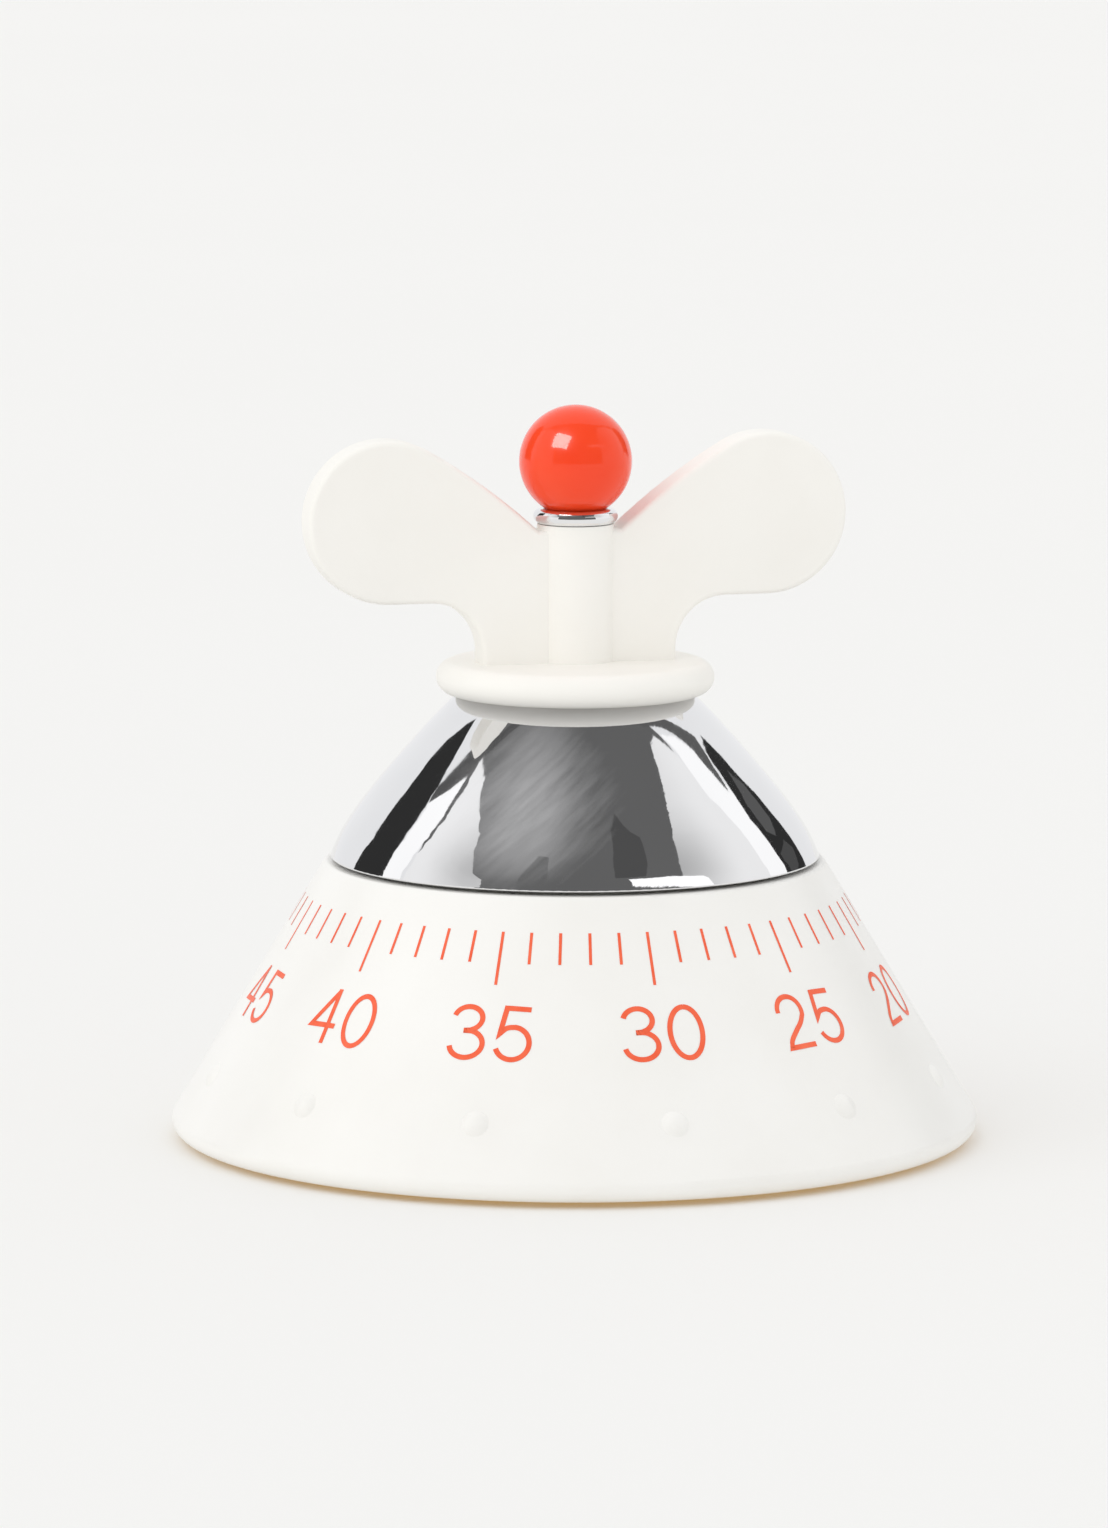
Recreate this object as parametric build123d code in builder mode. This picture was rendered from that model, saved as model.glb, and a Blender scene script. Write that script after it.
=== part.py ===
from build123d import *
from math import atan2, cos, degrees, hypot, pi, radians, sin, sqrt, tan
import os

# Wind-up kitchen timer, millimetres, +Z up.
# Origin: centre of the footprint, on the surface that the feet stand on.
# The hinge line of everything that the user turns is the Z axis.
# The zero of the scale lies at +Y, and the wings of the handle lie along X.

os.makedirs("parts", exist_ok=True)

# ---- Driving dimensions: base ------------------------------------------------
foot_lift = 0.8             # gap under the shell's bottom rim
cone_ref_radius = 36.6      # radius of the cone at cone_ref_z
cone_ref_z = 33.63
cone_slope = 0.60           # radius lost per millimetre of height
cone_top_z = 38.0
shell_wall = 2.6            # measured across, not along the normal
bottom_round = 1.8
top_round = 0.6
lip_width = 2.2
deck_top_z = 37.2
deck_wall = 2.0
deck_hole_radius = 6.5
bump_count = 12
bump_radius = 1.8
bump_height = 0.65
bump_centre_z = 10.4

plate_radius = 51.6         # bottom cover
plate_top_z = 3.0
plate_fit = 0.15            # gap round the bottom cover
ledge_z = 3.2
ledge_width = 1.9
ledge_height = 1.4
slot_count = 16
slot_length = 9.0
slot_width = 2.0
slot_ring_radius = 24.0
foot_count = 4
foot_first_angle = 45.0
foot_ring_radius = 38.0
foot_radius = 5.0
foot_height = 2.0
foot_chamfer = 0.4
base_screw_count = 4
base_screw_ring_radius = 44.0
base_screw_radius = 1.3
base_screw_head_radius = 2.6
base_screw_head_height = 1.0
base_screw_head_inset = 0.3 # how far the heads lie inside the cover
base_screw_head_round = 0.35
screw_clearance = 0.1       # round every screw that passes through a hole
base_screw_top_z = 12.0
boss_radius = 3.2
boss_top_z = 14.5

glide_inner_radius = 24.0
glide_outer_radius = 28.5
glide_top_z = 38.2

# ---- Driving dimensions: crown -----------------------------------------------
dome_rim_z = 38.5
dome_rim_radius = 33.3
dome_top_z = 60.85
dome_top_radius = 15.85
dome_wall = 0.9
dome_top_round = 1.2
dome_rim_round = 0.2
dome_hole_radius = 2.3

carrier_bottom_z = 38.35
carrier_disc_top_z = 40.2
carrier_radius = 31.0
hub_radius = 8.0
hub_rib_count = 6
hub_rib_wall = 1.4
insert_radius = 3.5
insert_bottom_z = 46.0
insert_top_z = 56.0

disc_radius = 18.9
disc_height = 4.4
disc_top_z = dome_top_z + disc_height

wing_half_thickness = 2.75
wing_edge_round = 0.7
lobe_radius = 11.05
lobe_centre_x = 26.5
lobe_centre_z = 84.85
wing_stem_x = 13.5          # outer wall of the stem that rises from the disc
wing_hollow_radius = 7.1    # concave arc under each lobe
wing_valley_x = 5.7         # where the upper edge starts its climb from the post
wing_valley_z = 83.2
wing_rise_angle = 30.0      # slope where the upper edge meets the lobe
post_radius = 5.2
post_top_z = 83.9

collar_radius = 5.75
collar_height = 2.06
collar_hole_radius = 2.3
ball_radius = 7.65
ball_centre_z = 92.34
stud_radius = 2.0
stud_hole_radius = 2.1
stud_bottom_z = 47.0
stud_top_z = 95.0
pip_radius = 1.1
pip_height = 0.5
pip_share = 0.12            # how far up the dome's outline the index pip sits

# ---- Driving dimensions: movement --------------------------------------------
movement_radius = 31.5
plate_thickness = 1.2
lower_plate_z = 12.0
upper_plate_z = 33.0
pillar_radius = 1.8
pillar_ring_radius = 28.6
pillar_angles = [60.0, 128.0, 225.0, 320.0]
pillar_screw_radius = 0.9
pillar_screw_head_radius = 1.9
pillar_screw_head_height = 0.8
movement_screw_count = 3
movement_screw_ring_radius = 18.0
movement_screw_first_angle = 30.0
movement_screw_radius = 1.25
movement_screw_head_radius = 2.6
movement_screw_head_height = 0.9
spacer_radius = 3.2         # between the deck and the upper plate

arbor_radius = 2.5
arbor_pivot_radius = 1.5
arbor_top_z = 44.0
arbor_square_bottom_z = 38.6
arbor_square = 4.0
running_clearance = 0.06
bush_radius = 4.4
bush_flange_radius = 5.8
bush_flange_height = 0.8

housing_radius = 14.2
housing_wall = 0.7
housing_top_z = 21.6
mainspring_strip = 0.3
mainspring_inner_radius = 3.2
mainspring_turns = 7
mainspring_bottom_z = 14.6
mainspring_height = 6.0

ratchet_teeth = 16
ratchet_radius = 6.0
ratchet_root_radius = 5.0
ratchet_z = 22.5
ratchet_thickness = 1.2
click_pivot_radius = 10.5   # distance of the click's pin from the main arbor
click_pivot_angle = 278.0
click_pin_radius = 0.8
click_pin_end = 0.3         # length of the pin below the click
click_pin_head_radius = 1.3
click_pin_head_height = 0.4
click_boss_radius = 1.7
click_tooth_angle = 225.0   # the ratchet tooth that the click rests behind
click_spring_post_radius = 0.7
click_spring_post_distance = 12.0
click_spring_post_angle = 252.0
click_spring_tip = (-1.41, -10.98)
click_spring_strip = 0.25
window_count = 4            # lightening holes in the great wheel
window_radius = 2.6
window_ring_radius = 9.4
window_first_angle = 55.0

great_teeth = 60
great_module = 0.5
great_z = 24.2
second_pinion_leaves = 10
second_pinion_z = 23.8
second_pinion_height = 2.2
second_teeth = 50
second_module = 0.4
second_wheel_z = 28.4
third_pinion_leaves = 8
third_pinion_z = 27.9
third_pinion_height = 2.0
third_teeth = 48
third_module = 0.4
third_wheel_z = 26.4
escape_pinion_leaves = 8
escape_pinion_z = 25.9
escape_pinion_height = 1.9
escape_teeth = 15
escape_radius = 6.0
escape_neck_radius = 5.7    # behind the tip of a tooth
escape_root_radius = 4.44
escape_wheel_z = 17.0
wheel_thickness = 0.9
train_window_radius = 2.1   # lightening holes in the smaller wheels
train_window_inset = 4.6    # from the pitch circle to their centres
train_arbor_radius = 0.8
train_pivot_radius = 0.5
end_shake = 0.15

second_angle = 180.0        # place of each arbor round the main arbor
third_distance = 17.4
escape_distance = 20.8
staff_distance = 21.3
staff_angle = 80.5

anchor_z = 18.5
anchor_thickness = 0.7
anchor_hub_radius = 2.0
anchor_arm_width = 1.5
pallet_pin_radius = 0.3
pallet_pin_bottom_z = 16.8
pallet_pin_gap = 0.65       # clear of the escape wheel at mid swing
balance_radius = 5.8
balance_z = 20.4
balance_thickness = 1.2
balance_rim_width = 1.2
balance_arm_width = 1.4
balance_hub_radius = 1.8

cam_z = 30.5
cam_thickness = 1.2
cam_radius = 7.0
cam_step = 1.4
hammer_arbor_x = 6.86
hammer_arbor_y = -25.6
hammer_arbor_radius = 1.1
hammer_arbor_bottom_z = 5.6
tail_z = 30.6
tail_thickness = 0.9
tail_tip_x = 4.70
tail_tip_y = -6.85
arm_z = 6.3
arm_thickness = 0.9
lever_hub_radius = 2.3
lever_width = 1.8
head_x = 15.8
head_y = -18.8
head_radius = 2.0
head_height = 2.6
head_round = 0.4
hammer_spring_radius = 2.0
hammer_spring_wire = 0.25
hammer_spring_pitch = 1.0
hammer_spring_turns = 5
hammer_spring_bottom_z = 14.2

bell_radius = 22.0
bell_wall = 0.8
bell_rim_z = 4.4
bell_top_z = 9.6
bell_crown_radius = 6.0
bell_post_radius = 3.0
bell_screw_radius = 1.2
bell_screw_head_radius = 2.6
bell_screw_head_height = 1.2


def cone_radius(z):
    """Outer radius of the shell's cone at height z."""
    return cone_ref_radius - cone_slope * (z - cone_ref_z)


def polar(radius, angle):
    """Point at a distance and an angle from the main arbor."""
    return (radius * cos(radians(angle)), radius * sin(radians(angle)))


def polar_from(centre, radius, angle):
    """Point at a distance and an angle from any centre."""
    offset_x, offset_y = polar(radius, angle)
    return (centre[0] + offset_x, centre[1] + offset_y)


def arbor_plane(axis, z):
    """Horizontal plane at height z with its origin on an arbor."""
    return Plane(origin=(axis[0], axis[1], z))


def arbor_spread(near, far, centre_distance):
    """Angle between two arbors, seen from the main arbor."""
    cosine = (near**2 + far**2 - centre_distance**2) / (2 * near * far)
    return degrees(atan2(sqrt(1 - cosine**2), cosine))


def direction(start, end):
    """Angle of the line from one arbor to another."""
    return degrees(atan2(end[1] - start[1], end[0] - start[0]))


def gear_outline(teeth, module, is_pinion, phase):
    """Corner points of a wheel or a pinion, with the backlash of a clock train."""
    addendum, dedendum = (0.55, 1.15) if is_pinion else (0.9, 1.1)
    root_share, pitch_share, tip_share = (0.26, 0.34, 0.16) if is_pinion else (0.50, 0.42, 0.12)
    pitch_radius = teeth * module / 2
    root = pitch_radius - dedendum * module
    tip = pitch_radius + addendum * module
    flank = [(root, root_share), (pitch_radius, pitch_share), (tip, tip_share)]
    corners = [(radius, -share) for radius, share in flank]
    corners += [(radius, share) for radius, share in reversed(flank)]
    points = []
    for tooth in range(teeth):
        for radius, share in corners:
            points.append(polar(radius, phase + (tooth + share / 2) * 360 / teeth))
    return points


def mesh_phase(phase, teeth, line_angle, other_teeth):
    """Phase that puts the next gear in mesh, along the line that joins the centres."""
    fraction = ((line_angle - phase) * teeth / 360) % 1
    return line_angle + 180 + (fraction + 0.5) * 360 / other_teeth


# Places of the train's arbors, and the phase of each gear at rest
second_distance = great_module * (great_teeth + second_pinion_leaves) / 2
second_to_third = second_module * (second_teeth + third_pinion_leaves) / 2
third_to_escape = third_module * (third_teeth + escape_pinion_leaves) / 2
third_angle = second_angle - arbor_spread(second_distance, third_distance, second_to_third)
escape_angle = third_angle - arbor_spread(third_distance, escape_distance, third_to_escape)
main_axis = (0.0, 0.0)
second_axis = polar(second_distance, second_angle)
third_axis = polar(third_distance, third_angle)
escape_axis = polar(escape_distance, escape_angle)
staff_axis = polar(staff_distance, staff_angle)
hammer_axis = (hammer_arbor_x, hammer_arbor_y)
train_axes = [second_axis, third_axis, escape_axis, staff_axis]

great_phase = 0.0
second_pinion_phase = mesh_phase(
    great_phase, great_teeth, direction(main_axis, second_axis), second_pinion_leaves)
second_phase = 0.0
third_pinion_phase = mesh_phase(
    second_phase, second_teeth, direction(second_axis, third_axis), third_pinion_leaves)
third_phase = 0.0
escape_pinion_phase = mesh_phase(
    third_phase, third_teeth, direction(third_axis, escape_axis), escape_pinion_leaves)

lower_plate_top_z = lower_plate_z + plate_thickness
upper_plate_top_z = upper_plate_z + plate_thickness
deck_bottom_z = deck_top_z - deck_wall
pivot_hole_radius = train_pivot_radius + running_clearance


# ---- Base: shell, cover, feet, screws, glide ring ----------------------------

with BuildPart() as base_shell:
    top_radius = cone_radius(cone_top_z)
    with BuildSketch(Plane.XZ):
        with BuildLine():
            Polyline(
                (0, foot_lift),
                (cone_radius(foot_lift), foot_lift),
                (top_radius, cone_top_z),
                (0, cone_top_z),
                close=True,
            )
        make_face()
    revolve(axis=Axis.Z)
    rim_edges = base_shell.edges().filter_by(GeomType.CIRCLE).sort_by(Axis.Z)
    fillet(rim_edges[0], bottom_round)
    fillet(base_shell.edges().filter_by(GeomType.CIRCLE).sort_by(Axis.Z)[-1], top_round)
    # Low round bumps, one on each five-minute line
    slope_angle = atan2(cone_slope, 1)
    bump_sphere_radius = (bump_radius**2 + bump_height**2) / (2 * bump_height)
    bump_depth = bump_sphere_radius - bump_height
    bump_x = cone_radius(bump_centre_z) - bump_depth * cos(slope_angle)
    bump_z = bump_centre_z - bump_depth * sin(slope_angle)
    with Locations((0, 0, bump_z)):
        with PolarLocations(bump_x, bump_count):
            Sphere(bump_sphere_radius)
    # Inside of the shell: seat for the cover, ledge, sloping wall and deck
    ledge_top_z = ledge_z + ledge_height
    with BuildSketch(Plane.XZ):
        with BuildLine():
            Polyline(
                (0, foot_lift),
                (plate_radius + plate_fit, foot_lift),
                (plate_radius + plate_fit, ledge_z),
                (plate_radius - ledge_width, ledge_z),
                (plate_radius - ledge_width, ledge_top_z),
                (cone_radius(ledge_top_z) - shell_wall, ledge_top_z),
                (cone_radius(deck_bottom_z) - shell_wall, deck_bottom_z),
                (0, deck_bottom_z),
                close=True,
            )
        make_face()
    revolve(axis=Axis.Z, mode=Mode.SUBTRACT)
    # Recess over the deck, inside the lip
    with BuildSketch(Plane.XY.offset(deck_top_z)):
        Circle(top_radius - lip_width)
    extrude(amount=cone_top_z - deck_top_z, mode=Mode.SUBTRACT)
    # Holes in the deck for the arbor and for the screws that carry the movement
    with BuildSketch(Plane.XY.offset(deck_bottom_z)):
        Circle(deck_hole_radius)
        with PolarLocations(movement_screw_ring_radius, movement_screw_count, movement_screw_first_angle):
            Circle(movement_screw_radius + screw_clearance)
    extrude(amount=deck_wall, mode=Mode.SUBTRACT)
    # Bosses for the screws that hold the cover
    with BuildSketch(Plane.XY.offset(ledge_z)):
        with PolarLocations(base_screw_ring_radius, base_screw_count):
            Circle(boss_radius)
    extrude(amount=boss_top_z - ledge_z)
    with BuildSketch(Plane.XY.offset(ledge_z)):
        with PolarLocations(base_screw_ring_radius, base_screw_count):
            Circle(base_screw_radius)
    extrude(amount=base_screw_top_z - ledge_z, mode=Mode.SUBTRACT)
    # Spacers between the deck and the upper plate of the movement
    with BuildSketch(Plane.XY.offset(upper_plate_top_z)):
        with PolarLocations(movement_screw_ring_radius, movement_screw_count, movement_screw_first_angle):
            Circle(spacer_radius)
            Circle(movement_screw_radius + screw_clearance, mode=Mode.SUBTRACT)
    extrude(amount=deck_bottom_z - upper_plate_top_z)
base_shell.part.label = "base_shell"
export_step(base_shell.part, "parts/base_shell.step")

with BuildPart() as base_plate:
    with BuildSketch(Plane.XY.offset(foot_lift)):
        Circle(plate_radius)
        with PolarLocations(slot_ring_radius, slot_count):
            SlotOverall(slot_length, slot_width, mode=Mode.SUBTRACT)
        with PolarLocations(base_screw_ring_radius, base_screw_count):
            Circle(base_screw_radius + screw_clearance, mode=Mode.SUBTRACT)
    extrude(amount=plate_top_z - foot_lift)
    # Pockets that hold the feet, and counterbores for the screw heads
    with BuildSketch(Plane.XY.offset(foot_lift)):
        with PolarLocations(foot_ring_radius, foot_count, foot_first_angle):
            Circle(foot_radius)
    extrude(amount=foot_height - foot_lift, mode=Mode.SUBTRACT)
    with BuildSketch(Plane.XY.offset(foot_lift)):
        with PolarLocations(base_screw_ring_radius, base_screw_count):
            Circle(base_screw_head_radius + 2 * screw_clearance)
    extrude(amount=base_screw_head_inset + base_screw_head_height, mode=Mode.SUBTRACT)
base_plate.part.label = "base_plate"
export_step(base_plate.part, "parts/base_plate.step")

with BuildPart() as rubber_feet:
    with BuildSketch():
        with PolarLocations(foot_ring_radius, foot_count, foot_first_angle):
            Circle(foot_radius)
    extrude(amount=foot_height)
    chamfer(rubber_feet.edges().group_by(Axis.Z)[0], foot_chamfer)
rubber_feet.part.label = "rubber_feet"
export_step(rubber_feet.part, "parts/rubber_feet.step")

with BuildPart() as base_screws:
    head_bottom_z = foot_lift + base_screw_head_inset
    head_top_z = head_bottom_z + base_screw_head_height
    with BuildSketch(Plane.XY.offset(head_bottom_z)):
        with PolarLocations(base_screw_ring_radius, base_screw_count):
            Circle(base_screw_head_radius)
    extrude(amount=head_top_z - head_bottom_z)
    fillet(base_screws.edges().group_by(Axis.Z)[0], base_screw_head_round)
    with BuildSketch(Plane.XY.offset(head_top_z)):
        with PolarLocations(base_screw_ring_radius, base_screw_count):
            Circle(base_screw_radius)
    extrude(amount=base_screw_top_z - head_top_z)
    # Cross recess in each head
    with BuildSketch(Plane.XY.offset(head_bottom_z)):
        with PolarLocations(base_screw_ring_radius, base_screw_count):
            Rectangle(2.8, 0.6)
            Rectangle(0.6, 2.8)
    extrude(amount=0.6, mode=Mode.SUBTRACT)
base_screws.part.label = "base_screws"
export_step(base_screws.part, "parts/base_screws.step")

with BuildPart() as glide_ring:
    with BuildSketch(Plane.XY.offset(deck_top_z)):
        Circle(glide_outer_radius)
        Circle(glide_inner_radius, mode=Mode.SUBTRACT)
    extrude(amount=glide_top_z - deck_top_z)
    fillet(glide_ring.edges().group_by(Axis.Z)[-1], 0.3)
glide_ring.part.label = "glide_ring"
export_step(glide_ring.part, "parts/glide_ring.step")


# ---- Crown: dome, carrier, disc, wing handle, collar, ball -------------------

dome_points = [
    (dome_rim_radius, dome_rim_z),
    (31.95, 41.5),
    (29.75, 45.0),
    (26.65, 49.0),
    (22.80, 53.5),
    (19.20, 57.5),
    (dome_top_radius, dome_top_z),
]

with BuildPart() as dome_cap:
    with BuildSketch(Plane.XZ):
        with BuildLine() as dome_outline:
            outer_curve = Spline(*dome_points)
            Line((dome_top_radius, dome_top_z), (0, dome_top_z))
            Line((0, dome_top_z), (0, dome_rim_z))
            Line((0, dome_rim_z), (dome_rim_radius, dome_rim_z))
        make_face()
    revolve(axis=Axis.Z)
    fillet(dome_cap.edges().group_by(Axis.Z)[-1], dome_top_round)
    offset(amount=-dome_wall, openings=dome_cap.faces().sort_by(Axis.Z)[0])
    # Rim turned to a smooth edge
    fillet(dome_cap.edges().group_by(Axis.Z)[0], dome_rim_round)
    # Holes for the stud and for the index pip
    with BuildSketch(Plane.XY.offset(dome_top_z)):
        Circle(dome_hole_radius)
    extrude(amount=-2 * dome_wall, mode=Mode.SUBTRACT)
    pip_point = outer_curve @ pip_share
    pip_tangent = outer_curve % pip_share
    pip_plane = Plane(
        origin=(0, pip_point.X, pip_point.Y),
        x_dir=(1, 0, 0),
        z_dir=(0, pip_tangent.Y, -pip_tangent.X),
    )
    with BuildSketch(pip_plane.offset(-2 * dome_wall)):
        Circle(pip_radius)
    extrude(amount=4 * dome_wall, mode=Mode.SUBTRACT)
dome_cap.part.label = "dome_cap"
export_step(dome_cap.part, "parts/dome_cap.step")

with BuildPart() as index_pip:
    with BuildSketch(pip_plane.offset(-dome_wall)):
        Circle(pip_radius)
    extrude(amount=dome_wall + pip_height)
    fillet(index_pip.edges().filter_by(GeomType.CIRCLE).sort_by(Axis.Y)[-1], 0.35)
index_pip.part.label = "index_pip"
export_step(index_pip.part, "parts/index_pip.step")

with BuildPart() as crown_carrier:
    # Thin disc that glides on the ring, with a tall hub that backs the dome's crown
    with BuildSketch(Plane.XY.offset(carrier_bottom_z)):
        Circle(carrier_radius)
    extrude(amount=carrier_disc_top_z - carrier_bottom_z)
    with BuildSketch(Plane.XY.offset(carrier_disc_top_z)):
        Circle(hub_radius)
    extrude(amount=dome_top_z - dome_wall - carrier_disc_top_z)
    # Ribs from the hub to the disc
    with BuildSketch(Plane.XZ.offset(-hub_rib_wall / 2)) as rib_sketch:
        with BuildLine():
            Polyline(
                (hub_radius - 1, carrier_disc_top_z),
                (25.0, carrier_disc_top_z),
                (hub_radius - 1, 56.0),
                close=True,
            )
        make_face()
    rib = extrude(rib_sketch.sketch, amount=hub_rib_wall, mode=Mode.PRIVATE)
    for turn in range(hub_rib_count):
        add(rib.rotate(Axis.Z, turn * 360 / hub_rib_count))
    # Square socket for the arbor, clearance for the stud, seat for the insert
    with BuildSketch(Plane.XY.offset(carrier_bottom_z)):
        Circle(arbor_radius + 0.1)
    extrude(amount=arbor_square_bottom_z + 0.1 - carrier_bottom_z, mode=Mode.SUBTRACT)
    with BuildSketch(Plane.XY.offset(arbor_square_bottom_z)):
        Rectangle(arbor_square, arbor_square)
    extrude(amount=arbor_top_z - arbor_square_bottom_z, mode=Mode.SUBTRACT)
    with BuildSketch(Plane.XY.offset(insert_bottom_z)):
        Circle(insert_radius)
    extrude(amount=insert_top_z - insert_bottom_z, mode=Mode.SUBTRACT)
    with BuildSketch(Plane.XY.offset(insert_top_z)):
        Circle(stud_hole_radius)
    extrude(amount=dome_top_z - insert_top_z, mode=Mode.SUBTRACT)
crown_carrier.part.label = "crown_carrier"
export_step(crown_carrier.part, "parts/crown_carrier.step")

with BuildPart() as hub_insert:
    with BuildSketch(Plane.XY.offset(insert_bottom_z)):
        Circle(insert_radius)
    extrude(amount=insert_top_z - insert_bottom_z)
    with BuildSketch(Plane.XY.offset(stud_bottom_z)):
        Circle(stud_radius)
    extrude(amount=insert_top_z - stud_bottom_z, mode=Mode.SUBTRACT)
hub_insert.part.label = "hub_insert"
export_step(hub_insert.part, "parts/hub_insert.step")

with BuildPart() as handle_disc:
    # Flange whose whole edge is a half round
    rim_round = disc_height / 2
    with BuildSketch(Plane.XZ):
        with BuildLine():
            Line((0, dome_top_z), (disc_radius - rim_round, dome_top_z))
            ThreePointArc(
                (disc_radius - rim_round, dome_top_z),
                (disc_radius, dome_top_z + rim_round),
                (disc_radius - rim_round, disc_top_z),
            )
            Polyline((disc_radius - rim_round, disc_top_z), (0, disc_top_z), (0, dome_top_z))
        make_face()
    revolve(axis=Axis.Z)
    with BuildSketch(Plane.XY.offset(dome_top_z)):
        Circle(stud_hole_radius)
    extrude(amount=disc_height, mode=Mode.SUBTRACT)
handle_disc.part.label = "handle_disc"
export_step(handle_disc.part, "parts/handle_disc.step")

with BuildPart() as wing_handle:
    # Half outline: stem, hollow under the lobe, round lobe, bowed upper edge down to the post
    rise = radians(wing_rise_angle)
    lobe_bottom_z = lobe_centre_z - lobe_radius
    hollow_x = wing_stem_x + wing_hollow_radius
    hollow_z = lobe_bottom_z - wing_hollow_radius
    lobe_tangent_x = lobe_centre_x - lobe_radius * sin(rise)
    lobe_tangent_z = lobe_centre_z + lobe_radius * cos(rise)
    with BuildSketch(Plane.XZ):
        with BuildLine():
            Polyline((0, disc_top_z), (wing_stem_x, disc_top_z), (wing_stem_x, hollow_z))
            ThreePointArc(
                (wing_stem_x, hollow_z),
                (hollow_x - wing_hollow_radius * cos(pi / 4), hollow_z + wing_hollow_radius * sin(pi / 4)),
                (hollow_x, lobe_bottom_z),
            )
            Line((hollow_x, lobe_bottom_z), (lobe_centre_x, lobe_bottom_z))
            ThreePointArc(
                (lobe_centre_x, lobe_bottom_z),
                (lobe_centre_x + lobe_radius * cos(rise / 2), lobe_centre_z + lobe_radius * sin(rise / 2)),
                (lobe_tangent_x, lobe_tangent_z),
            )
            TangentArc(
                (lobe_tangent_x, lobe_tangent_z),
                (wing_valley_x, wing_valley_z),
                tangent=(-cos(rise), -sin(rise)),
            )
            Polyline((wing_valley_x, wing_valley_z), (0, wing_valley_z), (0, disc_top_z))
        make_face()
        mirror(about=Plane.YZ)
    extrude(amount=wing_half_thickness, both=True)
    front_and_back = wing_handle.faces().filter_by(Axis.Y)
    edges_to_round = front_and_back.edges().filter_by_position(Axis.Z, disc_top_z + 0.1, 100.0)
    fillet(edges_to_round, wing_edge_round)
    with BuildSketch(Plane.XY.offset(disc_top_z)):
        Circle(post_radius)
    extrude(amount=post_top_z - disc_top_z)
    with BuildSketch(Plane.XY.offset(disc_top_z)):
        Circle(stud_hole_radius)
    extrude(amount=post_top_z - disc_top_z, mode=Mode.SUBTRACT)
wing_handle.part.label = "wing_handle"
export_step(wing_handle.part, "parts/wing_handle.step")

with BuildPart() as collar_ring:
    collar_round = collar_height / 2
    collar_top_z = post_top_z + collar_height
    with BuildSketch(Plane.XZ):
        with BuildLine():
            Line((collar_hole_radius, post_top_z), (collar_radius - collar_round, post_top_z))
            ThreePointArc(
                (collar_radius - collar_round, post_top_z),
                (collar_radius, post_top_z + collar_round),
                (collar_radius - collar_round, collar_top_z),
            )
            Polyline(
                (collar_radius - collar_round, collar_top_z),
                (collar_hole_radius, collar_top_z),
                (collar_hole_radius, post_top_z),
            )
        make_face()
    revolve(axis=Axis.Z)
collar_ring.part.label = "collar_ring"
export_step(collar_ring.part, "parts/collar_ring.step")

with BuildPart() as ball_knob:
    with Locations((0, 0, ball_centre_z)):
        Sphere(ball_radius)
    # Flat seat on the collar, and a blind hole for the stud
    split(bisect_by=Plane.XY.offset(collar_top_z), keep=Keep.TOP)
    with BuildSketch(Plane.XY.offset(collar_top_z)):
        Circle(stud_radius)
    extrude(amount=stud_top_z - collar_top_z, mode=Mode.SUBTRACT)
ball_knob.part.label = "ball_knob"
export_step(ball_knob.part, "parts/ball_knob.step")

with BuildPart() as knob_stud:
    with BuildSketch(Plane.XY.offset(stud_bottom_z)):
        Circle(stud_radius)
    extrude(amount=stud_top_z - stud_bottom_z)
knob_stud.part.label = "knob_stud"
export_step(knob_stud.part, "parts/knob_stud.step")


# ---- Movement: frame ---------------------------------------------------------

pillar_places = [polar(pillar_ring_radius, angle) for angle in pillar_angles]

with BuildPart() as bottom_plate:
    with BuildSketch(Plane.XY.offset(lower_plate_z)):
        Circle(movement_radius)
        Circle(arbor_pivot_radius + running_clearance, mode=Mode.SUBTRACT)
        with Locations(*train_axes):
            Circle(pivot_hole_radius, mode=Mode.SUBTRACT)
        with Locations(hammer_axis):
            Circle(hammer_arbor_radius + running_clearance, mode=Mode.SUBTRACT)
        with Locations(*pillar_places):
            Circle(pillar_screw_radius + screw_clearance, mode=Mode.SUBTRACT)
    extrude(amount=plate_thickness)
bottom_plate.part.label = "bottom_plate"
export_step(bottom_plate.part, "parts/bottom_plate.step")

with BuildPart() as top_plate:
    with BuildSketch(Plane.XY.offset(upper_plate_z)):
        Circle(movement_radius)
        Circle(bush_radius, mode=Mode.SUBTRACT)
        with Locations(*train_axes):
            Circle(pivot_hole_radius, mode=Mode.SUBTRACT)
        with Locations(hammer_axis):
            Circle(hammer_arbor_radius + running_clearance, mode=Mode.SUBTRACT)
        with Locations(*pillar_places):
            Circle(pillar_screw_radius + screw_clearance, mode=Mode.SUBTRACT)
        with PolarLocations(movement_screw_ring_radius, movement_screw_count, movement_screw_first_angle):
            Circle(movement_screw_radius, mode=Mode.SUBTRACT)
    extrude(amount=plate_thickness)
top_plate.part.label = "top_plate"
export_step(top_plate.part, "parts/top_plate.step")

with BuildPart() as plate_pillars:
    with BuildSketch(Plane.XY.offset(lower_plate_top_z)):
        with Locations(*pillar_places):
            Circle(pillar_radius)
    extrude(amount=upper_plate_z - lower_plate_top_z)
    screw_depth = 4.0
    for tapped_end_z in (lower_plate_top_z, upper_plate_z - screw_depth):
        with BuildSketch(Plane.XY.offset(tapped_end_z)):
            with Locations(*pillar_places):
                Circle(pillar_screw_radius)
        extrude(amount=screw_depth, mode=Mode.SUBTRACT)
plate_pillars.part.label = "plate_pillars"
export_step(plate_pillars.part, "parts/plate_pillars.step")

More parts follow.
